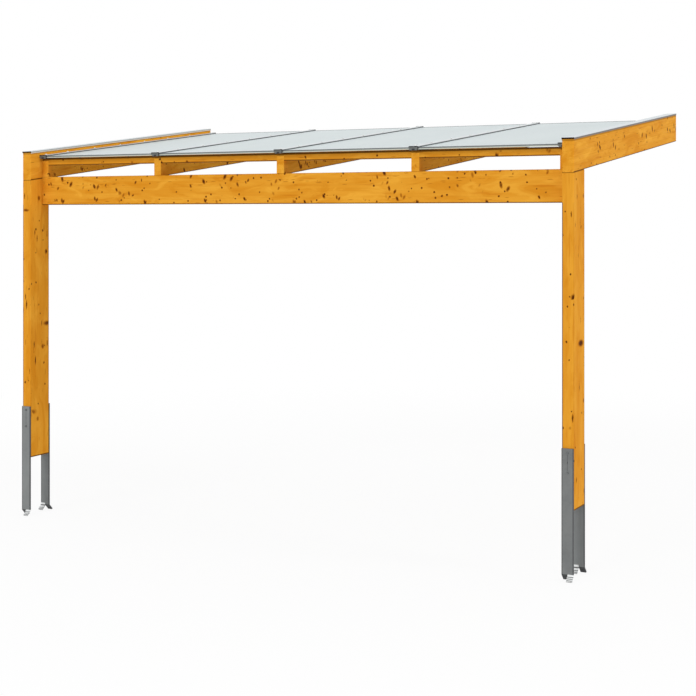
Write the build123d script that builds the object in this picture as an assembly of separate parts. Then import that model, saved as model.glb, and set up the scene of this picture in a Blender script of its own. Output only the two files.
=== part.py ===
from build123d import *

import os
from math import cos, radians, sin, tan

# Attached patio cover: two glulam posts on steel brackets, a front beam between them, and two side
# beams that run up to the house wall. Five rafters carry four multiwall sheets under aluminium bars.
# Millimetres. X runs along the wall, Y towards the wall and Z up. Heights are first counted from the
# foot of the brackets. At the end every piece drops so that the origin is on the ledger's back face.

# Whole frame
WIDTH = 4500.0
PROJECTION = 2590.0
CLEAR_HEIGHT = 2385.0
ROOF_PITCH = 7.0
ARRIS = 3.0

# Glued timber sections
POST_WIDTH = 80.0
POST_DEPTH = 220.0
POST_FOOT = 407.0
BEAM_WIDTH = 80.0
BEAM_DEPTH = 220.0
RAFTER_COUNT = 5
RAFTER_WIDTH = 60.0
RAFTER_DEPTH = 152.0
BATTEN_THICKNESS = 45.0
BATTEN_DEPTH = 53.0
LEDGER_THICKNESS = 60.0
LEDGER_SHELF = 8.0
POCKET_DEPTH = 15.0
SEAT_RISE = 26.0

# Wall bolts through the ledger
WALL_BOLT_RADIUS = 6.5
WALL_BOLT_SPREAD = 80.0

# Roof covering, as heights above the rafters' top plane
GASKET_HEIGHT = 12.0
GASKET_GROOVE_WIDTH = 4.0
GASKET_GROOVE_DEPTH = 4.0
GASKET_GROOVE_LINES = (13.5, 22.5)
SHEET_THICKNESS = 10.0
SHEET_GAP = 20.0
ROOF_OVERHANG = 25.0
WALL_GAP = 15.0
STRIP_WALL = 1.5
STRIP_LEG = 22.0
STRIP_DRIP = 2.0

# Glazing bar extrusion
BAR_WIDTH = 70.0
BAR_RISE = 9.0
BAR_EDGE_RISE = 6.5
BAR_FLAT = 44.0
BAR_WALL = 2.0
BAR_STEM_WIDTH = 12.0
LIP_WIDTH = 6.0
LIP_HEIGHT = 2.5
CAP_RIM = 1.5
CAP_LENGTH = 8.0
CAP_FOOT_WIDTH = 46.0
CAP_DROP = 3.5
CAP_SHOULDER = 14.0
WALL_CAP_LENGTH = 6.0

# Sheet-metal covers on the side beams
UPSTAND = 46.0
COVER_METAL = 1.5
COVER_INNER_FLANGE = 14.0
COVER_LIP = 3.0
COVER_OUTER_FLANGE = 11.0
COVER_CAP_HEIGHT = 10.0
COVER_CAP_THICKNESS = 3.0
COVER_CAP_RIM = 1.0

# Post brackets: flat bars whose split ends spread in the concrete
PLATE_THICKNESS = 10.0
PLATE_HEIGHT = 805.0
PLATE_SLIT = 2.0
TAIL_ANGLE = 45.0
TAIL_RADIUS = 8.0
TAIL_LENGTH = 46.0
TAIL_NOTCHES = (9.0, 22.0, 35.0)
TAIL_NOTCH_WIDTH = 4.0
TAIL_NOTCH_DEPTH = 1.5
SCREW_HOLE_RADIUS = 4.5
SCREW_TOP = 27.0
SCREW_SPACING = 128.0
GROOVE_WIDTH = 12.0
GROOVE_DEPTH = 1.0
GROOVE_LENGTH = 104.0

# Levels and lines that follow from those sizes
SLOPE = radians(ROOF_PITCH)
RISE = tan(SLOPE)
FRONT_Y = -PROJECTION
POST_BACK_Y = FRONT_Y + POST_DEPTH
BEAM_FRONT_Y = POST_BACK_Y - BEAM_WIDTH
BEAM_TOP = CLEAR_HEIGHT + BEAM_DEPTH
LEDGER_FRONT_Y = -LEDGER_THICKNESS
INNER_X = WIDTH / 2 - BEAM_WIDTH
PITCH_X = (2 * INNER_X - RAFTER_WIDTH) / (RAFTER_COUNT - 1)
RAFTER_X = [(i - (RAFTER_COUNT - 1) / 2) * PITCH_X for i in range(RAFTER_COUNT)]
BAY_X = [(a + b) / 2 for a, b in zip(RAFTER_X, RAFTER_X[1:])]
SHEET_WIDTH = PITCH_X - SHEET_GAP
SHEET_BASE = GASKET_HEIGHT
SHEET_TOP = SHEET_BASE + SHEET_THICKNESS
BAR_TOP = SHEET_TOP + BAR_RISE
SIDE_TOP = SHEET_TOP + UPSTAND
SIDE_BASE = SIDE_TOP - BEAM_DEPTH
ROOF_FRONT_Y = BEAM_FRONT_Y - ROOF_OVERHANG
WALL_STRIP_END_Y = -WALL_GAP - STRIP_LEG * cos(SLOPE)
BRACKET_SCREW_Z = (PLATE_HEIGHT - SCREW_TOP, PLATE_HEIGHT - SCREW_TOP - SCREW_SPACING)


def roof_z(y, height=0.0):
    """Level of a plane parallel to the roof, a height above the rafters' tops, square to it."""
    return BEAM_TOP + (y - POST_BACK_Y) * RISE + (RAFTER_DEPTH + height) / cos(SLOPE)


LEDGER_BASE = roof_z(LEDGER_FRONT_Y, -RAFTER_DEPTH) - LEDGER_SHELF
ORIGIN_HEIGHT = (LEDGER_BASE + roof_z(0)) / 2


def prism_x(outline, x_from, x_to):
    """Solid with a side outline of (y, z) points, from x_from to x_to."""
    corners = [Vector(x_from, y, z) for y, z in outline]
    face = make_face(Polyline(*corners, close=True))
    return extrude(face, amount=x_to - x_from, dir=(1, 0, 0))


def block(x_range, y_range, z_range):
    """Level box between two corners."""
    size = [high - low for low, high in (x_range, y_range, z_range)]
    centre = [(low + high) / 2 for low, high in (x_range, y_range, z_range)]
    return Pos(*centre) * Box(*size)


def slope_plane(x, y):
    """Section plane square to the roof, whose local Y points up from it and Z points down the slope."""
    return Plane(origin=(x, y, roof_z(y)), x_dir=(1, 0, 0), z_dir=(0, -cos(SLOPE), -sin(SLOPE)))


def run(y_from, y_to):
    """Length along the slope between two distances from the wall."""
    return (y_from - y_to) / cos(SLOPE)


def soften(timber, shortest):
    """Take the planed arris off every edge longer than the shortest."""
    return chamfer(timber.edges().filter_by(lambda edge: edge.length > shortest), ARRIS)


def post(x):
    """Post with a sloping top under its side beam."""
    outline = [
        (FRONT_Y, POST_FOOT),
        (POST_BACK_Y, POST_FOOT),
        (POST_BACK_Y, roof_z(POST_BACK_Y, SIDE_BASE)),
        (FRONT_Y, roof_z(FRONT_Y, SIDE_BASE)),
    ]
    return soften(prism_x(outline, x - POST_WIDTH / 2, x + POST_WIDTH / 2), POST_WIDTH / 2)


def front_beam():
    """Beam that butts the posts' inner faces, flush with their backs."""
    reach = WIDTH / 2 - POST_WIDTH
    beam = block((-reach, reach), (BEAM_FRONT_Y, POST_BACK_Y), (CLEAR_HEIGHT, BEAM_TOP))
    return soften(beam, BEAM_DEPTH * 2)


def side_outline(low, high):
    """Plumb-ended outline between two heights above the rafters."""
    return [
        (FRONT_Y, roof_z(FRONT_Y, low)),
        (0.0, roof_z(0.0, low)),
        (0.0, roof_z(0.0, high)),
        (FRONT_Y, roof_z(FRONT_Y, high)),
    ]


def side_beam(x):
    """Beam on the post top, with plumb ends at the front and at the wall."""
    outline = side_outline(SIDE_BASE, SIDE_TOP)
    return soften(prism_x(outline, x - BEAM_WIDTH / 2, x + BEAM_WIDTH / 2), BEAM_WIDTH / 2)


def rafter_blank(x):
    """Rafter with a level seat on the beam and a notched end housed in the ledger."""
    end_y = LEDGER_FRONT_Y + POCKET_DEPTH
    rafter_base = roof_z(LEDGER_FRONT_Y, -RAFTER_DEPTH)
    outline = [
        (BEAM_FRONT_Y, BEAM_TOP),
        (POST_BACK_Y, BEAM_TOP),
        (LEDGER_FRONT_Y, rafter_base),
        (LEDGER_FRONT_Y, rafter_base + SEAT_RISE),
        (end_y, rafter_base + SEAT_RISE),
        (end_y, roof_z(end_y)),
        (BEAM_FRONT_Y, roof_z(BEAM_FRONT_Y)),
    ]
    return prism_x(outline, x - RAFTER_WIDTH / 2, x + RAFTER_WIDTH / 2)


def rafter(x):
    return soften(rafter_blank(x), PROJECTION / 2)


def wall_ledger():
    """Ledger between the side beams, with pockets for the rafters and two bolt holes in each bay."""
    outline = [
        (LEDGER_FRONT_Y, LEDGER_BASE),
        (0.0, LEDGER_BASE),
        (0.0, roof_z(0.0)),
        (LEDGER_FRONT_Y, roof_z(LEDGER_FRONT_Y)),
    ]
    ledger = prism_x(outline, -INNER_X, INNER_X)
    for x in RAFTER_X:
        ledger -= rafter_blank(x)
    for x in BAY_X:
        for z in (ORIGIN_HEIGHT - WALL_BOLT_SPREAD / 2, ORIGIN_HEIGHT + WALL_BOLT_SPREAD / 2):
            hole = Cylinder(WALL_BOLT_RADIUS, 2 * LEDGER_THICKNESS, rotation=(90, 0, 0))
            ledger -= Pos(x, LEDGER_FRONT_Y / 2, z) * hole
    return ledger


def eave_batten(x):
    """Batten between two rafters, flush with their fronts and bevelled to the roof."""
    back_y = BEAM_FRONT_Y + BATTEN_THICKNESS
    base = roof_z(BEAM_FRONT_Y) - BATTEN_DEPTH
    outline = [
        (BEAM_FRONT_Y, base),
        (back_y, base),
        (back_y, roof_z(back_y)),
        (BEAM_FRONT_Y, roof_z(BEAM_FRONT_Y)),
    ]
    half = (PITCH_X - RAFTER_WIDTH) / 2
    return prism_x(outline, x - half, x + half)


def roof_panel(x):
    """Multiwall sheet between two bars, its front edge inside the edge strip."""
    section = Pos(0, SHEET_BASE + SHEET_THICKNESS / 2) * Rectangle(SHEET_WIDTH, SHEET_THICKNESS)
    front_y = ROOF_FRONT_Y + STRIP_WALL * cos(SLOPE)
    wall_y = -WALL_GAP - STRIP_WALL * cos(SLOPE)
    return extrude(slope_plane(x, wall_y) * section, amount=run(wall_y, front_y))


def sheet_end_channel(z_range, web_z_range):
    """Channel round a sheet's end, laid out in the plane square to the roof."""
    across = (-SHEET_WIDTH / 2, SHEET_WIDTH / 2)
    low = SHEET_BASE - STRIP_WALL
    high = SHEET_TOP + STRIP_WALL
    channel = block(across, (SHEET_TOP, high), z_range) + block(across, (low, SHEET_BASE), z_range)
    return channel + block(across, (low, high), web_z_range)


def edge_strip(x):
    """Strip on a sheet's front edge, with a drip edge below."""
    across = (-SHEET_WIDTH / 2, SHEET_WIDTH / 2)
    low = SHEET_BASE - STRIP_WALL
    channel = sheet_end_channel((-STRIP_LEG, 0), (-STRIP_WALL, 0))
    channel += block(across, (low - STRIP_DRIP, low), (-STRIP_WALL, 0))
    return slope_plane(x, ROOF_FRONT_Y) * channel


def wall_strip(x):
    """Strip on a sheet's wall end."""
    return slope_plane(x, -WALL_GAP) * sheet_end_channel((0, STRIP_LEG), (0, STRIP_WALL))


def bar_section(left, right):
    """Flat top with bevelled shoulders, two lipped edges, and two legs between the sheets."""
    half = BAR_WIDTH / 2
    flat = BAR_FLAT / 2
    stem = BAR_STEM_WIDTH / 2
    edge = SHEET_TOP + BAR_EDGE_RISE
    lip = SHEET_TOP + LIP_HEIGHT
    right_side = [
        (flat, BAR_TOP), (half, edge), (half, lip), (half - BAR_WALL, lip),
        (half - BAR_WALL, edge - BAR_WALL), (flat, BAR_TOP - BAR_WALL),
        (stem, BAR_TOP - BAR_WALL), (stem, SHEET_BASE),
        (stem - BAR_WALL, SHEET_BASE), (stem - BAR_WALL, BAR_TOP - BAR_WALL),
    ]
    left_side = [(-x, y) for x, y in reversed(right_side)]
    section = make_face(Polyline(*right_side, *left_side, close=True))
    window = Pos((left + right) / 2, BAR_TOP / 2) * Rectangle(right - left, BAR_TOP * 2)
    return section & window


def bar_limits(x):
    """Half widths of a bar to each side. The outer bars stop at the side beams."""
    half = BAR_WIDTH / 2
    return max(-half, -INNER_X - x), min(half, INNER_X - x)


def glazing_bar(x):
    section = bar_section(*bar_limits(x))
    return extrude(slope_plane(x, -WALL_GAP) * section, amount=run(-WALL_GAP, ROOF_FRONT_Y))


def bar_lips(x):
    """Rubber lips under a bar's two edges, between the strips on the sheets' two ends."""
    left, right = bar_limits(x)
    lips = []
    for side in (-1, 1):
        centre = side * (BAR_WIDTH / 2 - BAR_WALL - LIP_WIDTH / 2)
        if left < centre - LIP_WIDTH / 2 and centre + LIP_WIDTH / 2 < right:
            low, high = SHEET_TOP, SHEET_TOP + BAR_EDGE_RISE - BAR_WALL
            lip = Pos(centre, (low + high) / 2) * Rectangle(LIP_WIDTH, high - low)
            reach = run(WALL_STRIP_END_Y, ROOF_FRONT_Y) - STRIP_LEG
            lips.append(extrude(slope_plane(x, WALL_STRIP_END_Y) * lip, amount=reach))
    return lips


def rafter_gasket(x):
    """Grooved rubber bed on a rafter, under the edges of two sheets and the bar's legs."""
    section = Pos(0, GASKET_HEIGHT / 2) * Rectangle(RAFTER_WIDTH, GASKET_HEIGHT)
    groove = Rectangle(GASKET_GROOVE_WIDTH, GASKET_GROOVE_DEPTH * 2)
    for line in GASKET_GROOVE_LINES:
        for side in (-1, 1):
            section -= Pos(side * line, GASKET_HEIGHT) * groove
    return extrude(slope_plane(x, WALL_STRIP_END_Y) * section, amount=run(WALL_STRIP_END_Y, BEAM_FRONT_Y))


def wall_gasket(x):
    """Rubber strip on the ledger between two rafters' beds, below the wall strip's end."""
    section = Pos(0, GASKET_HEIGHT / 2) * Rectangle(PITCH_X - RAFTER_WIDTH, GASKET_HEIGHT)
    return extrude(slope_plane(x, WALL_STRIP_END_Y) * section, amount=run(WALL_STRIP_END_Y, LEDGER_FRONT_Y))


def front_cap(x):
    """Moulded cap over a bar's front end, wider at the top than at its foot."""
    left, right = bar_limits(x)
    half = BAR_WIDTH / 2
    foot = CAP_FOOT_WIDTH / 2
    high = BAR_TOP + CAP_RIM
    outline = Polyline(
        (-foot, CAP_DROP), (foot, CAP_DROP), (half, CAP_SHOULDER), (half, BAR_TOP - CAP_RIM),
        (half - 2 * CAP_RIM, high), (2 * CAP_RIM - half, high), (-half, BAR_TOP - CAP_RIM), (-half, CAP_SHOULDER),
        close=True,
    )
    window = Pos((left + right) / 2, high / 2) * Rectangle(right - left, high * 2)
    section = make_face(outline) & window
    return extrude(slope_plane(x, ROOF_FRONT_Y) * section, amount=CAP_LENGTH)


def wall_cap(x):
    """Small plug over a bar's wall end."""
    left, right = bar_limits(x)
    high = BAR_TOP + CAP_RIM
    section = Pos((left + right) / 2, (SHEET_TOP + high) / 2) * Rectangle(right - left, high - SHEET_TOP)
    return extrude(slope_plane(x, -WALL_GAP) * section, amount=-WALL_CAP_LENGTH)


def side_cover(side):
    """Folded cover over a side beam's top, its deeper inner flange turned out at the foot."""
    centre = side * (WIDTH / 2 - BEAM_WIDTH / 2)
    inner_x = centre - side * BEAM_WIDTH / 2
    outer_x = centre + side * BEAM_WIDTH / 2
    top = side_outline(SIDE_TOP, SIDE_TOP + COVER_METAL)
    inner = side_outline(SIDE_TOP - COVER_INNER_FLANGE, SIDE_TOP + COVER_METAL)
    outer = side_outline(SIDE_TOP - COVER_OUTER_FLANGE, SIDE_TOP + COVER_METAL)
    cover = prism_x(top, min(inner_x, outer_x), max(inner_x, outer_x))
    for face_x, outline, way in ((inner_x, inner, -side), (outer_x, outer, side)):
        ends = sorted((face_x, face_x + way * COVER_METAL))
        cover += prism_x(outline, *ends)
    lip_low = SIDE_TOP - COVER_INNER_FLANGE
    lip_ends = sorted((inner_x, inner_x - side * (COVER_METAL + COVER_LIP)))
    return cover + prism_x(side_outline(lip_low, lip_low + COVER_METAL), *lip_ends)


def cover_cap(side):
    """End plate that closes the cover at the front."""
    centre = side * (WIDTH / 2 - BEAM_WIDTH / 2)
    half = BEAM_WIDTH / 2 + COVER_METAL + COVER_CAP_RIM
    high = roof_z(FRONT_Y, SIDE_TOP + COVER_METAL) + COVER_CAP_RIM
    plate = block(
        (centre - half, centre + half),
        (FRONT_Y - COVER_CAP_THICKNESS, FRONT_Y),
        (high - COVER_CAP_HEIGHT, high),
    )
    return chamfer(plate.edges().filter_by(Axis.Y), COVER_CAP_RIM)


def tail(x_range, face_y, way):
    """Half of a plate's foot, bent by the tail angle and notched for grip. Way is its bend along Y."""
    angle = radians(TAIL_ANGLE)
    centre_y = face_y + way * (PLATE_THICKNESS / 2 + TAIL_RADIUS)

    def on_arc(radius, turn):
        return Vector(x_range[0], centre_y - way * radius * cos(turn), -radius * sin(turn))

    def along(point, length):
        return point + Vector(0, way * sin(angle) * length, -cos(angle) * length)

    outer_radius = TAIL_RADIUS + PLATE_THICKNESS
    turns = (0, angle / 2, angle)
    inner_arc = ThreePointArc(*[on_arc(TAIL_RADIUS, turn) for turn in turns])
    outer_arc = ThreePointArc(*[on_arc(outer_radius, turn) for turn in turns])
    inner_end = on_arc(TAIL_RADIUS, angle)
    outer_end = on_arc(outer_radius, angle)
    inward = (outer_end - inner_end) * (TAIL_NOTCH_DEPTH / PLATE_THICKNESS)

    def notched_edge(start, sink):
        points = [start]
        for place in TAIL_NOTCHES:
            near = along(start, place - TAIL_NOTCH_WIDTH / 2)
            far = along(start, place + TAIL_NOTCH_WIDTH / 2)
            points += [near, near + sink, far + sink, far]
        return [*points, along(start, TAIL_LENGTH)]

    rest = Polyline(*notched_edge(inner_end, inward), *reversed(notched_edge(outer_end, -inward)))
    top = Line(on_arc(outer_radius, 0), on_arc(TAIL_RADIUS, 0))
    face = make_face([inner_arc, *rest.edges(), outer_arc, top])
    return extrude(face, amount=x_range[1] - x_range[0], dir=(1, 0, 0))


def bracket(x, side_y):
    """Flat bar on a post's front (-1) or back (1) face. Its two tails bend apart."""
    face_y = FRONT_Y if side_y < 0 else POST_BACK_Y
    mid_y = face_y + side_y * PLATE_THICKNESS / 2
    half = POST_WIDTH / 2
    outside_y = face_y + side_y * PLATE_THICKNESS
    plate = block((x - half, x + half), sorted((face_y, outside_y)), (0.0, PLATE_HEIGHT))
    inward = -side_y
    plate += tail((x - half, x - PLATE_SLIT / 2), mid_y, inward)
    plate += tail((x + PLATE_SLIT / 2, x + half), mid_y, -inward)
    groove_z = sum(BRACKET_SCREW_Z) / 2
    groove = Pos(x, outside_y, groove_z) * Rot(90, 90, 0) * extrude(
        SlotOverall(GROOVE_LENGTH, GROOVE_WIDTH), amount=GROOVE_DEPTH, both=True
    )
    plate -= groove
    for z in BRACKET_SCREW_Z:
        plate -= Pos(x, mid_y, z) * Cylinder(SCREW_HOLE_RADIUS, 2 * PLATE_THICKNESS, rotation=(90, 0, 0))
    return plate


def build():
    """Every node of the patio cover, by name, as a list of solids."""
    nodes = {}
    post_x = WIDTH / 2 - POST_WIDTH / 2
    for name, side in (("left", -1), ("right", 1)):
        nodes[f"post_{name}"] = [post(side * post_x)]
        nodes[f"side_beam_{name}"] = [side_beam(side * (WIDTH / 2 - BEAM_WIDTH / 2))]
        nodes[f"side_cover_{name}"] = [side_cover(side)]
        nodes[f"cover_cap_{name}"] = [cover_cap(side)]
        nodes[f"bracket_{name}_front"] = [bracket(side * post_x, -1)]
        nodes[f"bracket_{name}_rear"] = [bracket(side * post_x, 1)]
    nodes["front_beam"] = [front_beam()]
    nodes["wall_ledger"] = [wall_ledger()]
    for number, x in enumerate(RAFTER_X, start=1):
        nodes[f"rafter_{number}"] = [rafter(x)]
        nodes[f"glazing_bar_{number}"] = [glazing_bar(x)]
    for number, x in enumerate(BAY_X, start=1):
        nodes[f"eave_batten_{number}"] = [eave_batten(x)]
        nodes[f"roof_panel_{number}"] = [roof_panel(x)]
        nodes[f"edge_strip_{number}"] = [edge_strip(x)]
    nodes["wall_strips"] = [wall_strip(x) for x in BAY_X]
    nodes["rafter_gaskets"] = [rafter_gasket(x) for x in RAFTER_X]
    nodes["wall_gaskets"] = [wall_gasket(x) for x in BAY_X]
    nodes["bar_lips"] = [lip for x in RAFTER_X for lip in bar_lips(x)]
    nodes["bar_front_caps"] = [front_cap(x) for x in RAFTER_X]
    nodes["bar_wall_caps"] = [wall_cap(x) for x in RAFTER_X]
    return nodes


os.makedirs("parts", exist_ok=True)
for name, solids in build().items():
    placed = [Pos(0, 0, -ORIGIN_HEIGHT) * solid for solid in solids]
    shape = placed[0] if len(placed) == 1 else Compound(children=placed)
    export_step(shape, f"parts/{name}.step")
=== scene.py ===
from math import cos, pi, radians, sin

import bpy
import numpy as np
from mathutils import Matrix, Vector


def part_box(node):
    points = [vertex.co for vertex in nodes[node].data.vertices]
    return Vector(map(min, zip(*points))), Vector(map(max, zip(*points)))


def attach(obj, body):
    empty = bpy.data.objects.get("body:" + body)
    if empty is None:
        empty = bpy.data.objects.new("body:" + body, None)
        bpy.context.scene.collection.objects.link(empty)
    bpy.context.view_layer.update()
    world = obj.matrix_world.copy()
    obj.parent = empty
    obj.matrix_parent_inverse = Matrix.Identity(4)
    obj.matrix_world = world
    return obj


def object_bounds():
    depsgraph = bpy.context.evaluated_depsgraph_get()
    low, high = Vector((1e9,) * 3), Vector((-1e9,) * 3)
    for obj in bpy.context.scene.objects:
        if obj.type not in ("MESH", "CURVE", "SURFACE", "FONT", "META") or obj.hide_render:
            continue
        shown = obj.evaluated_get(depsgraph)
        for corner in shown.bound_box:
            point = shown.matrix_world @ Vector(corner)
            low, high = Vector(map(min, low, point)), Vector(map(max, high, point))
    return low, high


# Attached patio cover, dressed in metres: glued and stained timber, grey brackets, aluminium roof
# profiles and opal multiwall sheets. X runs along the wall, Y towards it and Z up.
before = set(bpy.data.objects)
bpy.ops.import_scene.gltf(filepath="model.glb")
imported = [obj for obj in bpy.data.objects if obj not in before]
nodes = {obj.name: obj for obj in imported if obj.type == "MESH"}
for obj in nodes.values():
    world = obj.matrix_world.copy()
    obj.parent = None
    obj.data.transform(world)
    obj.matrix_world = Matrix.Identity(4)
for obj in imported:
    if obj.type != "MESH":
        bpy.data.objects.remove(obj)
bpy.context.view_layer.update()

# Roof geometry
ROOF_PITCH = radians(7)
DOWN_SLOPE = Vector((0, -cos(ROOF_PITCH), -sin(ROOF_PITCH)))
OFF_ROOF = Vector((0, -sin(ROOF_PITCH), cos(ROOF_PITCH)))
BAYS = range(1, 5)
RAFTERS = range(1, 6)

# Screws on the glazing bars
BAR_SCREW_FRONT = 0.035
BAR_SCREW_WALL = 0.028
BAR_SCREW_PITCH = 0.357
BAR_SCREW_COUNT = 7
BAR_SCREW_WIDTH = 0.0092
BAR_SCREW_HEIGHT = 0.0050
BAR_WASHER_RADIUS = 0.0085
BAR_WASHER_HEIGHT = 0.0012
BAR_SEAL_HEIGHT = 0.0014

# Screws in the brackets
BRACKET_SCREW_TOP = 0.027
BRACKET_SCREW_SPACING = 0.128
BRACKET_SCREW_WIDTH = 0.0130
BRACKET_SCREW_HEIGHT = 0.0050
BRACKET_WASHER_RADIUS = 0.0085
BRACKET_WASHER_HEIGHT = 0.0016

# Places on the brackets and bars where the finish, the painted shade and the painted light change
PLATE_REACH = 0.805
PLATE_THICKNESS = 0.010
BEAD_FROM_TOP = 0.091
NOTCH_HALF = 0.0016
LOWER_NOTCHES = ((0.0247, NOTCH_HALF), (0.0339, NOTCH_HALF), (0.0420, NOTCH_HALF))
FRONT_NOTCHES = ((0.0155, NOTCH_HALF),) + LOWER_NOTCHES
REAR_NOTCHES = ((0.0080, 0.0036),) + LOWER_NOTCHES
REAR_TAIL_RISE = 0.012
BAR_SHOULDER = 0.0012
BAR_PITCH = 1.070
CAP_BROW = 0.007
CAP_FOOT_HALF = 0.011
CAP_FOOT_TOP = 0.012
CAP_END = 0.031
WALL_WIDTH = 4.5
FLANGE_DEPTH = 0.014

# Camera, as the photograph was taken
CAMERA_PLACE = (5.14265, -11.37267, -0.66091)
CAMERA_TURN = radians(27.237)
CAMERA_LENS = 73.716
CAMERA_SHIFT = -0.19101


def deselect():
    bpy.ops.object.select_all(action="DESELECT")


def linked(tree, source, target):
    """Joins an output to an input, or sets the input where the source is a plain value."""
    if isinstance(source, bpy.types.NodeSocket):
        tree.links.new(source, target)
    else:
        target.default_value = source


def add(tree, kind, inputs=None, **settings):
    """A shader node with its settings and inputs. An input's key is its name or its number."""
    made = tree.nodes.new("ShaderNode" + kind)
    for key, value in settings.items():
        setattr(made, key, value)
    for key, value in (inputs or {}).items():
        linked(tree, value, made.inputs[key])
    return made


def maths(tree, operation, *values, clamp=False):
    made = add(tree, "Math", dict(enumerate(values)), operation=operation, use_clamp=clamp)
    return made.outputs[0]


def vector_maths(tree, operation, *values):
    made = add(tree, "VectorMath", dict(enumerate(values)), operation=operation)
    return made.outputs[0]


def spread(tree, value, low, high, to_low=0.0, to_high=1.0, smooth=False):
    """The value's share of the way from low to high, taken to a new range."""
    inputs = {
        "Value": value, "From Min": low, "From Max": high, "To Min": to_low, "To Max": to_high,
    }
    kind = "SMOOTHSTEP" if smooth else "LINEAR"
    return add(tree, "MapRange", inputs, interpolation_type=kind, clamp=True).outputs["Result"]


def blend_colour(tree, share, first, second):
    made = add(tree, "Mix", data_type="RGBA", blend_type="MIX")
    for key, value in ((0, share), (6, first), (7, second)):
        linked(tree, value, made.inputs[key])
    return made.outputs[2]


def colour(red, green, blue):
    """Shader colour from the red, green and blue that a screen shows, out of 255."""
    shares = [c / 255 for c in (red, green, blue)]
    return [c / 12.92 if c <= 0.04045 else ((c + 0.055) / 1.055) ** 2.4 for c in shares] + [1.0]


def finish_material(name, tree_of):
    """A material set up by a function of its node tree and its Principled shader."""
    material = bpy.data.materials.new(name)
    material.use_nodes = True
    tree = material.node_tree
    tree_of(tree, tree.nodes["Principled BSDF"])
    return material


def object_point(tree, turn=(0, 0, 0), place=(0, 0, 0)):
    """The surface point in the piece's own frame, turned and then moved."""
    point = add(tree, "TexCoord").outputs["Object"]
    inputs = {"Vector": point, "Location": place, "Rotation": turn}
    return add(tree, "Mapping", inputs).outputs["Vector"]


def stretched(tree, point, scale):
    return vector_maths(tree, "MULTIPLY", point, scale)


def noise(tree, point, scale, detail=2.0, roughness=0.5):
    inputs = {"Vector": point, "Scale": scale, "Detail": detail, "Roughness": roughness}
    return add(tree, "TexNoise", inputs).outputs["Fac"]


# Stained timber
WOOD_BASE = colour(226, 155, 43)
WOOD_PALE = colour(237, 172, 58)
WOOD_DEEP = colour(210, 132, 22)
WOOD_LATE = colour(196, 112, 14)
KNOT_CORE = colour(74, 32, 4)
KNOT_RIM = colour(164, 94, 12)
GLUE_LINE = colour(150, 84, 12)
# Dark tones for painted shade: along arrises and post ends, and in bands along timber tops
EDGE_SHADE_PAINT = colour(84, 46, 6)
TOP_SHADE_PAINT = colour(80, 46, 8)

# Boards that a timber is glued from. A post has two of unlike width, side by side
LAMELLA = 0.043
GLUE_WIDTH = 0.0012
POST_FIRST_BOARD = 0.032
POST_BOARD = 0.048

# Steps that keep the patterns of two timbers, and of two boards in one timber, apart
PIECE_SHIFT = 3.7
PIECE_SEED = 17.0
BOARD_SHIFT = (9.0, 0.06, 0.05)

# Patterns in the wood: their scale along the grain, across it and up the boards
RING_SCALE = 34.0
RING_STRETCH = (0.11, 1.0, 1.0)
STREAK_SCALE = (2.2, 105.0, 105.0)
CLOUD_SCALE = (1.7, 9.0, 9.0)
FLAME_SCALE = (3.2, 8.0, 11.0)
EMBER_SCALE = (2.4, 30.0, 42.0)

# How strongly each of them shows
BASE_SHARE = 0.62
RING_SHARE = 0.1
STREAK_SHARE = 0.3
FLAME_SHARE = 0.6
EMBER_SHARE = 0.5
POST_DEEP_SHARE = 0.22

# Marks in the wood: cells a metre along, across and up, least and most radius in cells, and lean
LYING_MARKS = {
    "dots": ((21.0, 13.0, 19.0), 0.14, 0.23, 0.0),
    "knots": ((14.0, 8.0, 9.0), 0.14, 0.25, 0.3),
    "smears": ((15.0, 5.0, 9.5), 0.15, 0.27, -0.35),
    "flecks": ((15.0, 4.0, 7.5), 0.14, 0.25, 0.15),
}
STANDING_MARKS = {
    "dots": ((15.0, 19.0, 21.0), 0.13, 0.22, 0.0),
    "knots": ((7.0, 3.0, 9.0), 0.13, 0.24, 0.0),
    "smears": ((7.5, 9.0, 3.0), 0.12, 0.23, 0.0),
    "flecks": ((5.0, 24.0, 24.0), 0.12, 0.26, 0.0),
}
# Resin pockets: cells, least and most radius, and the share of the cells that hold one
RESIN_POCKETS = ((8.0, 70.0, 70.0), 0.14, 0.3, 0.4)

# Share of the cells that hold a mark where the marks crowd, by the first word of a timber's name,
# and the part of it that is left where they are sparse
MARK_SHARES = {"front": 1.0, "wall": 0.8, "rafter": 0.8, "post": 0.75, "side": 0.1, "eave": 0.3}
SPARSE_SHARE = 0.06
CROWD_SCALE = (3.0, 5.0, 5.0)
FRAY_SCALE = 130.0
FRAY_REACH = (0.008, 0.008, 0.008)

# How strongly the marks and the glue lines show
KNOT_SHARE = 0.85
LEAF_SHARE = 0.75
RIM_SHARE = 0.85
CORE_SHARE = 0.95
POCKET_SHARE = 0.75
SEAM_SHARE = 0.2

# Painted shade on the arrises: its least and most strength, and where it ends on a post
ARRIS_WIDTH = 0.0048
LYING_ARRIS = (0.15, 0.85)
STANDING_ARRIS = (0.1, 0.85)
BEAM_DEPTH = 0.22

# Painted shade along a post's top and foot
END_LINE = 0.0045
END_SHARE = 0.55
FOOT_LINE = 0.0095
FOOT_SHARE = 0.85

# Painted shade in bands along a timber's top: how far below it each starts and ends, its strength,
# and that of the softer painted shade below it
TOP_SHADE_BANDS = {
    "eave": (0.0, 0.0135, 0.9, 0.4),
    "rafter": (0.0, 0.0120, 0.75, 0.0),
    "side": (0.0100, 0.0180, 0.4, 0.0),
}
TOP_SHADE_EDGE = 0.006
TOP_SHADE_FADE = 0.040

# Rows: along the grain, across it and up the boards
ALONG_X = Matrix(((1, 0, 0), (0, 1, 0), (0, 0, 1)))
ALONG_Z = Matrix(((0, 0, 1), (0, -1, 0), (1, 0, 0)))
ALONG_SLOPE = Matrix((-DOWN_SLOPE, (-1, 0, 0), OFF_ROOF))


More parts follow.
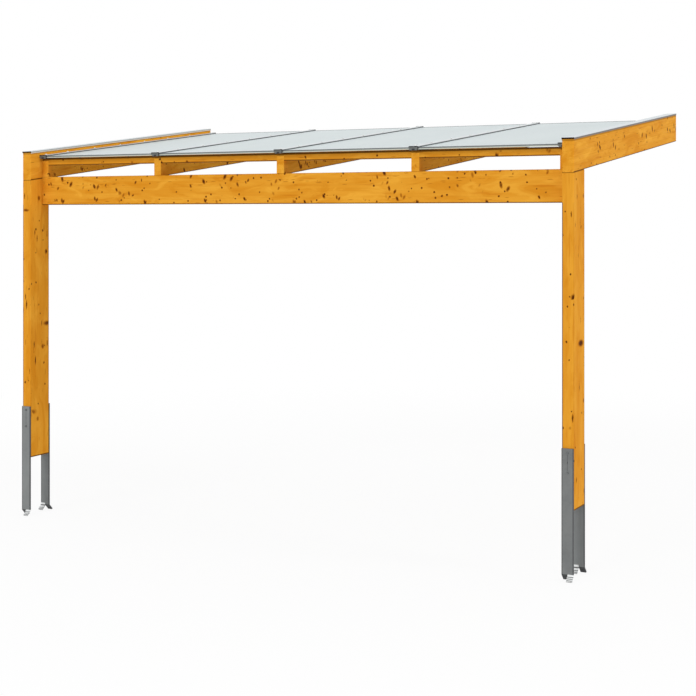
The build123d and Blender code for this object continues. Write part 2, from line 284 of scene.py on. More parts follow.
def timber_corners(node, axes):
    """Lowest and highest reach of a timber along its grain, across it and up its boards."""
    points = np.array([v.co for v in nodes[node].data.vertices]) @ np.array(axes).T
    return points.min(0), points.max(0)


def knot_field(tree, point, scale, least, most, share):
    """Strength, 0 to 1, of scattered round marks. Share is how many of the cells hold one."""
    cells = add(tree, "TexVoronoi", {"Vector": stretched(tree, point, scale), "Scale": 1.0})
    red, green = add(tree, "SeparateColor", {"Color": cells.outputs["Color"]}).outputs[0:2]
    radius = spread(tree, red, 0, 1, least, most)
    chosen = maths(tree, "LESS_THAN", green, share)
    depth = maths(tree, "DIVIDE", cells.outputs["Distance"], radius)
    return maths(tree, "MULTIPLY", maths(tree, "SUBTRACT", 1.0, depth, clamp=True), chosen)


def leaning(tree, point, height, lean):
    """The point moved along the grain in step with its height, so that marks on it lean over."""
    shift = add(tree, "CombineXYZ", {"X": maths(tree, "MULTIPLY", height, lean)}).outputs[0]
    return vector_maths(tree, "ADD", point, shift)


def from_face(tree, value, size):
    """Distance in from the nearer of two faces that stand a size apart, from 0 up."""
    return maths(tree, "MINIMUM", value, maths(tree, "SUBTRACT", size, value))


def layered(tree, tone, layers):
    """The tone with each layer laid over it in turn. A layer is its strength and its colour."""
    for share, stain in layers:
        tone = blend_colour(tree, share, tone, stain)
    return tone


def wood_tone(tree, piece, fibre, streak):
    """Colour of the stained wood: growth rings, streaks, clouds, flames and embers."""
    rings = add(tree, "TexWave", {
        "Vector": stretched(tree, fibre, RING_STRETCH), "Scale": RING_SCALE, "Distortion": 5.0,
        "Detail": 2.0, "Detail Scale": 1.3,
    }, wave_type="RINGS", rings_direction="X")
    growth = maths(tree, "POWER", rings.outputs["Fac"], 2.2)
    cloud = noise(tree, stretched(tree, fibre, CLOUD_SCALE), 1.0, 2.0)
    flame = add(tree, "TexNoise", {
        "Vector": stretched(tree, piece, FLAME_SCALE), "Scale": 1.0, "Detail": 3.0,
        "Distortion": 1.2,
    }).outputs["Fac"]
    ember = noise(tree, stretched(tree, piece, EMBER_SCALE), 1.0, 2.0, 0.6)
    tone = blend_colour(tree, spread(tree, cloud, 0.35, 0.65), WOOD_DEEP, WOOD_PALE)
    return layered(tree, tone, (
        (BASE_SHARE, WOOD_BASE),
        (maths(tree, "MULTIPLY", growth, RING_SHARE), WOOD_LATE),
        (spread(tree, streak, 0.5, 0.8, 0.0, STREAK_SHARE), WOOD_LATE),
        (spread(tree, flame, 0.52, 0.66, 0.0, FLAME_SHARE, True), WOOD_DEEP),
        (spread(tree, flame, 0.32, 0.46, FLAME_SHARE, 0.0, True), WOOD_PALE),
        (spread(tree, ember, 0.6, 0.72, 0.0, EMBER_SHARE, True), WOOD_LATE),
    ))


def with_marks(tree, tone, piece, fibre, height, kind):
    """The tone with dots, knots, smears and flecks, crowded in places, and with resin pockets."""
    held = MARK_SHARES[kind]
    crowd = noise(tree, stretched(tree, piece, CROWD_SCALE), 1.0, 1.0)
    crowded = spread(tree, crowd, 0.42, 0.56, SPARSE_SHARE * held, held)
    frayed = add(tree, "TexNoise", {"Vector": piece, "Scale": FRAY_SCALE, "Detail": 2.0})
    ragged = vector_maths(tree, "ADD", piece, stretched(tree, frayed.outputs["Color"], FRAY_REACH))
    marks = STANDING_MARKS if kind == "post" else LYING_MARKS
    dots, knots, smears, flecks = [
        knot_field(tree, leaning(tree, ragged, height, lean), cells, least, most, crowded)
        for cells, least, most, lean in marks.values()
    ]
    pockets = knot_field(tree, fibre, *RESIN_POCKETS)
    leaf = maths(tree, "MAXIMUM", smears, flecks)
    round_marks = maths(tree, "MAXIMUM", dots, maths(tree, "MULTIPLY", knots, KNOT_SHARE))
    rim = maths(tree, "MAXIMUM", round_marks, leaf)
    core = maths(tree, "MAXIMUM", round_marks, maths(tree, "MULTIPLY", leaf, LEAF_SHARE))
    return layered(tree, tone, (
        (spread(tree, rim, 0.0, 0.4, 0.0, RIM_SHARE, True), KNOT_RIM),
        (spread(tree, core, 0.22, 0.58, 0.0, CORE_SHARE, True), KNOT_CORE),
        (spread(tree, pockets, 0.1, 0.6, 0.0, POCKET_SHARE, True), KNOT_RIM),
    ))


def glue_seam(tree, level, height, board, depth):
    """1 on the glue lines between boards, and 0 beside them and at the outer faces."""
    edge = maths(tree, "ABSOLUTE", maths(tree, "SUBTRACT", level, maths(tree, "ROUND", level)))
    buried = maths(tree, "GREATER_THAN", from_face(tree, height, depth), ARRIS_WIDTH)
    return maths(tree, "MULTIPLY", spread(tree, edge, 0.0, GLUE_WIDTH / board, 1.0, 0.0), buried)


def painted_arris_shade(tree, along, across, height, size, standing):
    """Strength of the painted shade on the arrises, most on a lying timber's lower two and on a
    post's front left and rear right ones. A post has none beside its beam."""
    inside = maths(tree, "ADD", from_face(tree, across, size[1]), from_face(tree, height, size[2]))
    arris = spread(tree, inside, ARRIS_WIDTH, ARRIS_WIDTH * 1.6, 1.0, 0.0)
    low_half = maths(tree, "LESS_THAN", height, size[2] / 2)
    if not standing:
        return maths(tree, "MULTIPLY", arris, spread(tree, low_half, 0, 1, *LYING_ARRIS))
    rear_half = maths(tree, "LESS_THAN", across, size[1] / 2)
    unlike = maths(tree, "ABSOLUTE", maths(tree, "SUBTRACT", rear_half, low_half))
    strength = spread(tree, unlike, 0, 1, *STANDING_ARRIS)
    below_beam = maths(tree, "LESS_THAN", along, size[0] - BEAM_DEPTH)
    return maths(tree, "MULTIPLY", arris, maths(tree, "MULTIPLY", strength, below_beam))


def painted_post_end_shade(tree, node, along):
    """Strength of the painted shade along a post's sloped top and its foot."""
    top = maths(tree, "MULTIPLY", above_level(tree, roof_reach(node)[1] - END_LINE), END_SHARE)
    foot = maths(tree, "MULTIPLY", maths(tree, "LESS_THAN", along, FOOT_LINE), FOOT_SHARE)
    return maths(tree, "MAXIMUM", top, foot)


def painted_top_shade(tree, below_top, start, end, strength, shade):
    """Strength of the painted shade in a band along a timber's top and of the softer shade below
    it.
    """
    band = spread(tree, below_top, end, end + TOP_SHADE_EDGE, strength, 0.0, True)
    shade_share = maths(tree, "MAXIMUM", band, spread(tree, below_top, end, end + TOP_SHADE_FADE, shade, 0.0))
    return maths(tree, "MULTIPLY", shade_share, maths(tree, "GREATER_THAN", below_top, start))


def timber(node, axes, number):
    """Stained glulam for one piece, its boards, grain and knots laid along that piece."""
    low, high = timber_corners(node, axes)
    size = high - low
    kind = node.split("_")[0]
    standing = kind == "post"
    if standing:
        first, board = POST_FIRST_BOARD, POST_BOARD
    else:
        first = board = size[2] / max(1, round(size[2] / LAMELLA))

    def build(tree, shader):
        point = object_point(tree, axes.to_euler(), -Vector(low))
        along, across, height = add(tree, "SeparateXYZ", {"Vector": point}).outputs[0:3]
        level = maths(tree, "DIVIDE", maths(tree, "ADD", height, board - first), board)
        seed = maths(tree, "ADD", maths(tree, "FLOOR", level), number * PIECE_SEED)
        own = add(tree, "TexWhiteNoise", {"W": seed}, noise_dimensions="1D")
        shift = vector_maths(tree, "MULTIPLY", own.outputs["Color"], BOARD_SHIFT)
        piece = vector_maths(tree, "ADD", point, (number * PIECE_SHIFT, 0, 0))
        fibre = vector_maths(tree, "ADD", piece, shift)
        streak = noise(tree, stretched(tree, fibre, STREAK_SCALE), 1.0, 3.0, 0.6)

        tone = wood_tone(tree, piece, fibre, streak)
        if standing:
            tone = blend_colour(tree, POST_DEEP_SHARE, tone, WOOD_DEEP)
        tone = with_marks(tree, tone, piece, fibre, height, kind)
        seam = glue_seam(tree, level, height, board, size[2])
        # Glue lines, then painted shade along the arrises
        tone = layered(tree, tone, (
            (maths(tree, "MULTIPLY", seam, SEAM_SHARE), GLUE_LINE),
            (painted_arris_shade(tree, along, across, height, size, standing), EDGE_SHADE_PAINT),
        ))
        # Painted shade along a post's top and foot
        if standing:
            tone = blend_colour(tree, painted_post_end_shade(tree, node, along), tone, EDGE_SHADE_PAINT)
        # Painted shade along the top of eave battens, rafters and side beams
        if kind in TOP_SHADE_BANDS:
            below_top = maths(tree, "SUBTRACT", float(size[2]), height)
            top_shade_share = painted_top_shade(tree, below_top, *TOP_SHADE_BANDS[kind])
            tone = blend_colour(tree, top_shade_share, tone, TOP_SHADE_PAINT)

        linked(tree, tone, shader.inputs["Base Color"])
        linked(tree, spread(tree, streak, 0.3, 0.8, 0.6, 0.75), shader.inputs["Roughness"])
        shader.inputs["Specular IOR Level"].default_value = 0.04
        fibres = maths(tree, "MULTIPLY", streak, -1.0)
        relief = maths(tree, "SUBTRACT", fibres, maths(tree, "MULTIPLY", seam, 0.7))
        bump = add(tree, "Bump", {"Strength": 0.25, "Distance": 0.0006, "Height": relief})
        linked(tree, bump.outputs["Normal"], shader.inputs["Normal"])

    return finish_material(f"stained_{node}", build)


# Metals
STEEL = colour(126, 129, 129)
STEEL_DARK = colour(112, 115, 116)
STEEL_PALE = colour(142, 145, 145)
# Dark tone for painted shade on bracket rims, bead and tails, and for a screw's die lines
STEEL_EDGE = colour(58, 60, 62)
# Painted shade: a shaded copy of the steel for one bracket, and shaded tails. Painted light: lit
# zinc tails
STEEL_SHADED = colour(106, 108, 108)
LIT_ZINC_TAIL = colour(236, 238, 238)
SHADED_TAIL = colour(58, 60, 62)
ALUMINIUM = colour(216, 221, 223)
ALUMINIUM_DARK = colour(196, 202, 205)
# Painted shade on the glazing bars' sides
BAR_SIDE_SHADE = colour(98, 103, 105)
SCREW_BRIGHT = colour(240, 240, 238)
# Strips: the upper half painted darker as shade, the lower half paler
STRIP_UPPER = colour(98, 104, 106)
STRIP_LOWER = colour(192, 196, 184)
COVER_TOP = colour(214, 221, 224)
COVER_DARK = colour(176, 180, 184)
# Cover flanges: painted shade, darkest on the outer one, and painted light at the inner one's lip
INNER_FLANGE = colour(164, 166, 164)
INNER_LIP = colour(218, 204, 186)
OUTER_FLANGE = colour(108, 100, 92)
BRACKET_EDGE_WIDTH = 0.0074
BEAD_HALF_WIDTH = 0.0022
BEAD_REACH = 0.052
TAIL_SPLIT = 0.0005
NOTCH_FADE = 0.0008
BEND_FADE = 0.006
LEVEL_FADE = 0.0003


def plate_tone(tree, point, main):
    """Colour of zinc-coated steel, with faint crystals and runs, its crystals and its bloom."""
    crystals = add(tree, "TexVoronoi", {"Vector": point, "Scale": 55.0}, feature="F1")
    crystal = add(tree, "SeparateColor", {"Color": crystals.outputs["Color"]}).outputs[0]
    runs = noise(tree, stretched(tree, point, (38.0, 38.0, 3.0)), 1.0, 2.0)
    bloom = noise(tree, point, 7.0, 3.0)
    tone = blend_colour(tree, spread(tree, bloom, 0.35, 0.65), STEEL_DARK, STEEL_PALE)
    tone = layered(tree, tone, (
        (0.75, main),
        (maths(tree, "MULTIPLY", crystal, 0.15), STEEL_PALE),
        (spread(tree, runs, 0.5, 0.75, 0.0, 0.3), STEEL_DARK),
    ))
    return tone, crystal, bloom


def bracket_steel(name, node):
    """Zinc-coated flat steel with painted shade on its rims, beside a pressed bead and in lines
    across its tails, which are painted lit on one half and shaded on the other.
    """
    low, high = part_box(node)
    bend = high.z - PLATE_REACH
    half = (high.x - low.x) / 2
    bead_middle = Vector(((low.x + high.x) / 2, 0, high.z - BEAD_FROM_TOP))
    if node.endswith("front"):
        tails, notches, rise = (SHADED_TAIL, LIT_ZINC_TAIL), FRONT_NOTCHES, 0.0
    else:
        tails, notches, rise = (LIT_ZINC_TAIL, SHADED_TAIL), REAR_NOTCHES, REAR_TAIL_RISE
    # Painted shade: the right front bracket gets the shaded copy of the steel
    main = STEEL_SHADED if node == "bracket_right_front" else STEEL

    def build(tree, shader):
        point = object_point(tree)
        level = add(tree, "SeparateXYZ", {"Vector": point}).outputs["Z"]
        off_bead = vector_maths(tree, "SUBTRACT", point, bead_middle)
        across, _, height = add(tree, "SeparateXYZ", {"Vector": off_bead}).outputs[0:3]
        tone, crystal, bloom = plate_tone(tree, point, main)

        # Painted shade along the plate's rims and beside the bead
        wide = maths(tree, "ABSOLUTE", across)
        rim = spread(tree, wide, half - BRACKET_EDGE_WIDTH, half - BRACKET_EDGE_WIDTH / 2, 0.0, 0.9)
        bead = spread(tree, wide, BEAD_HALF_WIDTH, BEAD_HALF_WIDTH * 2, 0.45, 0.0)
        beside = maths(tree, "LESS_THAN", maths(tree, "ABSOLUTE", height), BEAD_REACH)
        bead = maths(tree, "MULTIPLY", bead, beside)
        tone = blend_colour(tree, maths(tree, "MAXIMUM", rim, bead), tone, STEEL_EDGE)

        # Tails: painted light on one half, painted shade on the other, and painted shade lines
        # across them
        right_half = spread(tree, across, -TAIL_SPLIT, TAIL_SPLIT)
        tail = blend_colour(tree, right_half, *tails)
        for drop, reach in notches:
            off_notch = maths(tree, "ABSOLUTE", maths(tree, "SUBTRACT", level, bend - drop))
            notch = spread(tree, off_notch, reach, reach + NOTCH_FADE, 0.85, 0.0)
            tail = blend_colour(tree, notch, tail, STEEL_EDGE)
        start = maths(tree, "MULTIPLY", maths(tree, "SUBTRACT", 1.0, right_half), rise)
        bent = maths(tree, "SUBTRACT", level, start)
        tone = blend_colour(tree, spread(tree, bent, bend - BEND_FADE, bend, 1.0, 0.0), tone, tail)

        linked(tree, tone, shader.inputs["Base Color"])
        linked(tree, spread(tree, crystal, 0, 1, 0.4, 0.54), shader.inputs["Roughness"])
        shader.inputs["Metallic"].default_value = 0.35
        bump = add(tree, "Bump", {"Strength": 0.15, "Distance": 0.0004, "Height": bloom})
        linked(tree, bump.outputs["Normal"], shader.inputs["Normal"])

    return finish_material(name, build)


def roof_reach(node):
    """Lowest and highest place of a CAD node, square to the roof."""
    heights = np.array([v.co for v in nodes[node].data.vertices]) @ np.array(OFF_ROOF)
    return heights.min(), heights.max()


def off_roof(tree):
    """Height of the surface square to the roof."""
    inputs = {0: object_point(tree), 1: OFF_ROOF}
    return add(tree, "VectorMath", inputs, operation="DOT_PRODUCT").outputs["Value"]


def above_level(tree, level):
    """1 where the surface is higher off the roof plane than a level, and 0 below it."""
    return spread(tree, off_roof(tree), level - LEVEL_FADE, level + LEVEL_FADE)


def two_tone(lower, level):
    """Changes a tone to a lower one, below a level."""
    return lambda tree, tone: blend_colour(tree, above_level(tree, level), lower, tone)


def cover_flanges(top):
    """Changes a cover's tone to painted shade on its flanges, with painted light at the inner one's
    lip.
    """

    def shade(tree, tone):
        width = add(tree, "SeparateXYZ", {"Vector": object_point(tree)}).outputs["X"]
        off_middle = maths(tree, "ABSOLUTE", width)
        outer = maths(tree, "GREATER_THAN", off_middle, WALL_WIDTH / 2 - LEVEL_FADE)
        pale = spread(tree, off_roof(tree), top - FLANGE_DEPTH, top - FLANGE_DEPTH / 3)
        flange = blend_colour(tree, pale, INNER_LIP, INNER_FLANGE)
        flange = blend_colour(tree, outer, flange, OUTER_FLANGE)
        return blend_colour(tree, above_level(tree, top - BAR_SHOULDER), flange, tone)

    return shade


def drawn_metal(name, main, dark, rough, metallic, shade=None):
    """Rolled or extruded metal with fine die lines down the slope. Shade alters it by place."""

    def build(tree, shader):
        fibre = object_point(tree, ALONG_SLOPE.to_euler())
        lines = noise(tree, stretched(tree, fibre, (0.8, 420.0, 420.0)), 1.0, 2.0, 0.6)
        marks = noise(tree, fibre, 9.0, 4.0, 0.65)
        tone = blend_colour(tree, spread(tree, lines, 0.35, 0.7, 0.0, 0.4), main, dark)
        tone = blend_colour(tree, spread(tree, marks, 0.5, 0.75, 0.0, 0.3), tone, dark)
        if shade:
            tone = shade(tree, tone)
        linked(tree, tone, shader.inputs["Base Color"])
        roughness = spread(tree, lines, 0.3, 0.7, rough - 0.06, rough + 0.08)
        linked(tree, roughness, shader.inputs["Roughness"])
        shader.inputs["Metallic"].default_value = metallic
        bump = add(tree, "Bump", {"Strength": 0.12, "Distance": 0.0002, "Height": lines})
        linked(tree, bump.outputs["Normal"], shader.inputs["Normal"])

    return finish_material(name, build)


# Plastics and rubber
SHEET_MAIN = colour(208, 219, 220)
SHEET_WEB = colour(195, 207, 210)
CAP_MAIN = colour(100, 104, 102)
CAP_WORN = colour(114, 118, 116)
CAP_DARK = colour(52, 52, 54)
BLACK_CAP = colour(20, 14, 11)
BLACK_WORN = colour(40, 32, 26)
RUBBER_MAIN = colour(38, 38, 40)
FLUTE = 0.016


def opal_sheet():
    """Opal multiwall plastic with its inner webs showing as faint lines down the slope."""

    def build(tree, shader):
        point = add(tree, "TexCoord").outputs["Object"]
        across = add(tree, "SeparateXYZ", {"Vector": point}).outputs["X"]
        place = maths(tree, "DIVIDE", across, FLUTE)
        nearest = maths(tree, "ROUND", place)
        off_web = maths(tree, "ABSOLUTE", maths(tree, "SUBTRACT", place, nearest))
        web = spread(tree, off_web, 0.0, 0.16, 1.0, 0.0, True)
        haze = noise(tree, stretched(tree, point, (2.0, 0.7, 2.0)), 1.0, 2.0)
        tone = blend_colour(tree, maths(tree, "MULTIPLY", web, 0.5), SHEET_MAIN, SHEET_WEB)
        tone = blend_colour(tree, spread(tree, haze, 0.4, 0.7, 0.0, 0.3), tone, SHEET_WEB)
        linked(tree, tone, shader.inputs["Base Color"])
        shader.inputs["Roughness"].default_value = 0.32
        shader.inputs["Specular IOR Level"].default_value = 0.1
        shader.inputs["Transmission Weight"].default_value = 0.12
        bump = add(tree, "Bump", {"Strength": 0.08, "Distance": 0.0003, "Height": web})
        linked(tree, bump.outputs["Normal"], shader.inputs["Normal"])

    return finish_material("opal_sheet", build)


def cap_front(low, high):
    """Changes a cap's tone: dark along its brow, and painted shade at its foot and at its right
    end.
    """

    def shade(tree, tone):
        width = add(tree, "SeparateXYZ", {"Vector": object_point(tree)}).outputs["X"]
        nearest = maths(tree, "ROUND", maths(tree, "DIVIDE", width, BAR_PITCH))
        off_middle = maths(tree, "SUBTRACT", width, maths(tree, "MULTIPLY", BAR_PITCH, nearest))
        end = maths(tree, "GREATER_THAN", off_middle, CAP_END)
        narrow = maths(tree, "LESS_THAN", maths(tree, "ABSOLUTE", off_middle), CAP_FOOT_HALF)
        below = maths(tree, "SUBTRACT", 1.0, above_level(tree, low + CAP_FOOT_TOP))
        foot = maths(tree, "MULTIPLY", narrow, below)
        brow = above_level(tree, high - CAP_BROW)
        # Painted shade at the right end and at the foot; the brow is darker
        dark = maths(tree, "MAXIMUM", maths(tree, "MAXIMUM", end, foot), brow)
        return blend_colour(tree, dark, tone, CAP_DARK)

    return shade


def moulded(name, main, worn, rough, grain, shade=None, gloss=0.5):
    """Moulded plastic or rubber with a fine grain and scuffs. Shade changes its tone by place."""

    def build(tree, shader):
        point = object_point(tree)
        fine = noise(tree, point, grain, 2.0)
        scuff = noise(tree, point, 40.0, 3.0)
        tone = blend_colour(tree, spread(tree, scuff, 0.45, 0.75, 0.0, 0.6), main, worn)
        if shade:
            tone = shade(tree, tone)
        linked(tree, tone, shader.inputs["Base Color"])
        roughness = spread(tree, fine, 0.3, 0.7, rough - 0.05, rough + 0.1)
        linked(tree, roughness, shader.inputs["Roughness"])
        shader.inputs["Specular IOR Level"].default_value = gloss
        bump = add(tree, "Bump", {"Strength": 0.2, "Distance": 0.0002, "Height": fine})
        linked(tree, bump.outputs["Normal"], shader.inputs["Normal"])

    return finish_material(name, build)


def dress(node, material):
    """Puts one material on every slot of a CAD node."""
    slots = nodes[node].data.materials
    slots.clear()
    slots.append(material)


def dress_timber():
    grain = {"front_beam": ALONG_X, "wall_ledger": ALONG_X}
    grain.update({f"eave_batten_{n}": ALONG_X for n in BAYS})
    grain.update({f"rafter_{n}": ALONG_SLOPE for n in RAFTERS})
    for side in ("left", "right"):
        grain[f"post_{side}"] = ALONG_Z
        grain[f"side_beam_{side}"] = ALONG_SLOPE
    for number, (node, axes) in enumerate(sorted(grain.items()), start=1):
        dress(node, timber(node, axes, number))


def dress_metal_and_plastic(rubber):
    # Covers: painted shade on the flanges and painted light at the inner lip
    flanges = cover_flanges(roof_reach("side_cover_left")[1])
    cover = drawn_metal("cover_sheet", COVER_TOP, COVER_DARK, 0.42, 0.4, flanges)
    # Painted shade on the bars' sides, below their shoulder
    shoulder = two_tone(BAR_SIDE_SHADE, roof_reach("glazing_bar_1")[1] - BAR_SHOULDER)
    bar = drawn_metal("aluminium", ALUMINIUM, ALUMINIUM_DARK, 0.36, 0.5, shoulder)
    # Painted shade on the strips' upper half; the lower half is paler
    under_strip = two_tone(STRIP_LOWER, sum(roof_reach("edge_strip_1")) / 2)
    strip = drawn_metal("aluminium_strip", STRIP_UPPER, STEEL, 0.4, 0.3, under_strip)
    sheet = opal_sheet()
    # Caps: painted shade at the foot and at the right end
    front = cap_front(*roof_reach("bar_front_caps"))
    cap = moulded("cap_plastic", CAP_MAIN, CAP_WORN, 0.42, 900.0, front, 0.3)
    black = moulded("cover_end_plastic", BLACK_CAP, BLACK_WORN, 0.6, 900.0, gloss=0.08)
    for place in ("front", "rear"):
        for side, name in (("left", "bracket_steel"), ("right", "bracket_steel_right")):
            node = f"bracket_{side}_{place}"
            dress(node, bracket_steel(f"{name}_{place}", node))
    for side in ("left", "right"):
        dress(f"side_cover_{side}", cover)
        dress(f"cover_cap_{side}", black)
    for n in RAFTERS:
        dress(f"glazing_bar_{n}", bar)
    for n in BAYS:
        dress(f"roof_panel_{n}", sheet)
        dress(f"edge_strip_{n}", strip)
    dress("wall_strips", strip)
    for node in ("rafter_gaskets", "wall_gaskets", "bar_lips"):
        dress(node, rubber)
    for node in ("bar_front_caps", "bar_wall_caps"):
        dress(node, cap)


def select_faces(piece, wanted):
    """Goes into edit mode with only the wanted faces of the active piece selected."""
    bpy.ops.object.mode_set(mode="EDIT")
    bpy.ops.mesh.select_all(action="DESELECT")
    bpy.ops.object.mode_set(mode="OBJECT")
    for face in piece.data.polygons:
        face.select = wanted(face)
    bpy.ops.object.mode_set(mode="EDIT")


def disc(radius, low, high, sides, material, soften):
    """Bevelled disc or hexagon about the Z axis, between two heights."""
    deselect()
    bpy.ops.mesh.primitive_cylinder_add(
        vertices=sides, radius=radius, depth=high - low, location=(0, 0, (low + high) / 2)
    )
    made = bpy.context.active_object
    bpy.ops.object.transform_apply(location=True, rotation=True, scale=True)
    select_faces(made, lambda face: face.normal.z > 0.9)
    bpy.ops.mesh.bevel(offset=soften, segments=2, affect="EDGES")
    bpy.ops.object.mode_set(mode="OBJECT")
    bpy.ops.object.shade_smooth_by_angle(angle=radians(35))
    made.data.materials.append(material)
    return made


def joined(parts, name):
    deselect()
    for part in parts:
        part.select_set(True)
    bpy.context.view_layer.objects.active = parts[0]
    bpy.ops.object.join()
    parts[0].name = name
    parts[0].data.name = name
    return parts[0]


def hex_head(across, low, high, material):
    """Hexagon head with a dished top."""
    head = disc(across / 2 / cos(pi / 6), low, high, 6, material, across * 0.05)
    deselect()
    head.select_set(True)
    bpy.context.view_layer.objects.active = head
    top = high - across * 0.01
    select_faces(head, lambda face: face.normal.z > 0.99 and face.center.z > top)
    bpy.ops.mesh.inset(thickness=across * 0.2)
    bpy.ops.transform.translate(value=(0, 0, -across * 0.06))
    bpy.ops.object.mode_set(mode="OBJECT")
    return head


def bar_screw(metal, rubber):
    """Hexagon screw with a metal washer on a rubber seal, standing on the XY plane."""
    seal = disc(BAR_WASHER_RADIUS * 0.8, 0.0, BAR_SEAL_HEIGHT, 20, rubber, 0.0004)
    washer_top = BAR_SEAL_HEIGHT + BAR_WASHER_HEIGHT
    washer = disc(BAR_WASHER_RADIUS, BAR_SEAL_HEIGHT, washer_top, 20, metal, 0.0004)
    head = hex_head(BAR_SCREW_WIDTH, washer_top, washer_top + BAR_SCREW_HEIGHT, metal)
    return joined([head, washer, seal], "bar_screw_model")


def bracket_screw(metal):
    """Hexagon screw on a flat washer, standing on the XY plane."""
    washer = disc(BRACKET_WASHER_RADIUS, 0.0, BRACKET_WASHER_HEIGHT, 24, metal, 0.0004)
    top = BRACKET_WASHER_HEIGHT + BRACKET_SCREW_HEIGHT
    head = hex_head(BRACKET_SCREW_WIDTH, BRACKET_WASHER_HEIGHT, top, metal)
    return joined([head, washer], "bracket_screw_model")


def set_of_copies(model, places, name):
    """Copies of a model at each place, joined into one piece at the origin."""
    copies = []
    for place in places:
        copy = model.copy()
        copy.data = model.data.copy()
        bpy.context.scene.collection.objects.link(copy)
        copy.matrix_world = place
        copies.append(copy)
    bpy.context.view_layer.update()
    piece = joined(copies, name)
    bpy.ops.object.transform_apply(location=True, rotation=True, scale=True)
    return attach(piece, "root")


def upright(place, up, turn=0.0):
    """Where a model that stands on the XY plane goes to stand at a place, its top towards up."""
    lean = up.to_track_quat("Z", "Y").to_matrix().to_4x4()
    return Matrix.Translation(place) @ lean @ Matrix.Rotation(turn, 4, "Z")


def fit_bar_screws(metal, rubber):
    """A row of screws down the middle of each glazing bar."""
    model = bar_screw(metal, rubber)
    for n in RAFTERS:
        points = np.array([v.co for v in nodes[f"glazing_bar_{n}"].data.vertices])
        reach = points @ np.array(DOWN_SLOPE)
        height = (points @ np.array(OFF_ROOF)).max()
        low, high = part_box(f"rafter_{n}")
        middle = (low.x + high.x) / 2
        runs = [reach.max() - BAR_SCREW_FRONT]
        runs += [reach.min() + BAR_SCREW_WALL + i * BAR_SCREW_PITCH for i in range(BAR_SCREW_COUNT)]
        places = []
        for i, run in enumerate(runs):
            spot = Vector((middle, 0, 0)) + DOWN_SLOPE * run + OFF_ROOF * height
            places.append(upright(spot, OFF_ROOF, turn=i * 1.1 + n))
        set_of_copies(model, places, f"bar_screws_{n}")
    bpy.data.objects.remove(model)


def fit_bracket_screws(metal):
    """Two screws in the upper end of each bracket, one above the other."""
    model = bracket_screw(metal)
    for side in ("left", "right"):
        for place, out in (("front", -1), ("rear", 1)):
            low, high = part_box(f"bracket_{side}_{place}")
            post_low, post_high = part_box(f"post_{side}")
            plate_y = (post_low.y if out < 0 else post_high.y) + out * PLATE_THICKNESS
            middle = (low.x + high.x) / 2
            spots = []
            for i in range(2):
                z = high.z - BRACKET_SCREW_TOP - i * BRACKET_SCREW_SPACING
                spots.append(upright(Vector((middle, plate_y, z)), Vector((0, out, 0)), 0.4 + i))
            set_of_copies(model, spots, f"bracket_screws_{side}_{place}")
    bpy.data.objects.remove(model)


# Floor and lamps. A lamp has its strength, the degrees that it spreads over, and where it stands
FLOOR_WIDTH = 160.0
FLOOR_DROP = 0.002
FLOOR_PAINT = (0.82, 0.82, 0.82, 1)
FLOOR_FADE = (2.0, 8.0, 0.9, 1.0)
WORLD_LEVEL = 0.72
LAMPS = {
    "front": (0.9, 20, (-0.1, -1.0, 0.45)),
    "right": (0.95, 20, (1.0, 0.0, 0.6)),
}


def seen_or_mirrored(tree):
    """1 for what the camera sees, straight, mirrored or through the sheets, and 0 for light."""
    rays = add(tree, "LightPath")
    seen = maths(tree, "MAXIMUM", rays.outputs["Is Camera Ray"], rays.outputs["Is Glossy Ray"])
    return maths(tree, "MAXIMUM", seen, rays.outputs["Is Transmission Ray"])


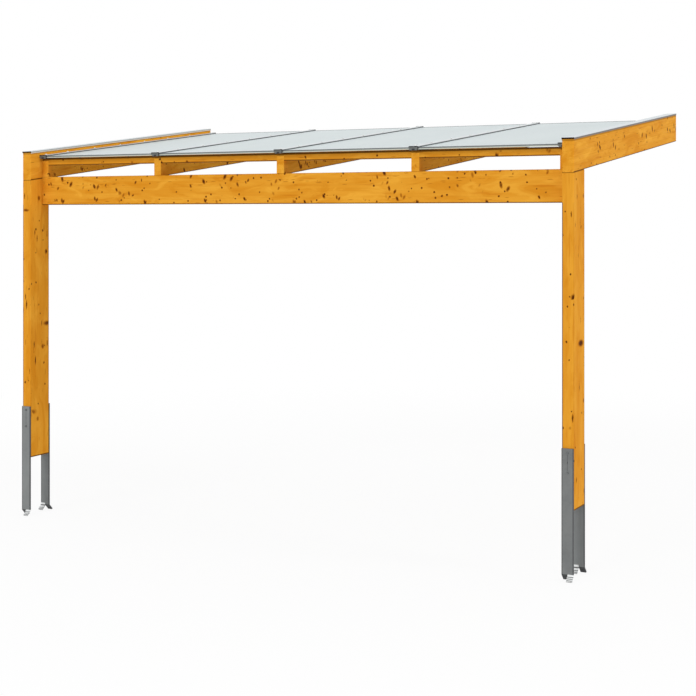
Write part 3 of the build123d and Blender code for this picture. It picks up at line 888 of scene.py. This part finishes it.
def white_floor():
    """Pale floor under the brackets that fades into the white background."""
    low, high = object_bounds()
    deselect()
    bpy.ops.mesh.primitive_plane_add(size=FLOOR_WIDTH, location=(0, 0, 0))
    floor = bpy.context.active_object
    floor.name = "floor"
    floor.location.z = low.z - FLOOR_DROP
    material = bpy.data.materials.new("floor_white")
    material.use_nodes = True
    tree = material.node_tree
    tree.nodes.clear()
    point = add(tree, "TexCoord").outputs["Object"]
    away = add(tree, "VectorMath", {0: point}, operation="LENGTH").outputs["Value"]
    white = spread(tree, away, *FLOOR_FADE, smooth=True)
    bright = maths(tree, "MULTIPLY", seen_or_mirrored(tree), white)
    paint = add(tree, "BsdfDiffuse", {"Color": FLOOR_PAINT})
    glow = add(tree, "Emission", {"Color": (1, 1, 1, 1), "Strength": 1.0})
    mix = add(tree, "MixShader", {0: bright, 1: paint.outputs[0], 2: glow.outputs[0]})
    out = add(tree, "OutputMaterial")
    tree.links.new(mix.outputs[0], out.inputs["Surface"])
    floor.data.materials.append(material)


def studio_light():
    """White surroundings and two soft lamps, one in front and one at the right."""
    world = bpy.data.worlds.new("studio")
    bpy.context.scene.world = world
    world.use_nodes = True
    tree = world.node_tree
    tree.nodes.clear()
    level = spread(tree, seen_or_mirrored(tree), 0, 1, WORLD_LEVEL, 1.0)
    light = add(tree, "Background", {"Color": (1, 1, 1, 1), "Strength": level})
    out = add(tree, "OutputWorld")
    tree.links.new(light.outputs[0], out.inputs["Surface"])
    for name, (strength, width, direction) in LAMPS.items():
        lamp = bpy.data.lights.new(name, "SUN")
        lamp.energy = strength
        lamp.angle = radians(width)
        holder = bpy.data.objects.new(name, lamp)
        bpy.context.scene.collection.objects.link(holder)
        holder.rotation_euler = Vector(direction).to_track_quat("Z", "Y").to_euler()


def photograph_camera():
    data = bpy.data.cameras.new("camera")
    data.lens = CAMERA_LENS
    data.sensor_width = 36
    data.shift_y = CAMERA_SHIFT
    holder = bpy.data.objects.new("camera", data)
    holder.location = CAMERA_PLACE
    holder.rotation_euler = (radians(90), 0, CAMERA_TURN)
    bpy.context.scene.collection.objects.link(holder)
    bpy.context.scene.camera = holder


bpy.context.scene.view_settings.view_transform = "Standard"
photograph_camera()
rubber = moulded("rubber_seal", RUBBER_MAIN, CAP_MAIN, 0.7, 500.0)
dress_timber()
dress_metal_and_plastic(rubber)
fit_bar_screws(drawn_metal("stainless", SCREW_BRIGHT, ALUMINIUM, 0.3, 0.8), rubber)
fit_bracket_screws(drawn_metal("zinc_screw", STEEL_DARK, STEEL_EDGE, 0.45, 0.5))
white_floor()
studio_light()
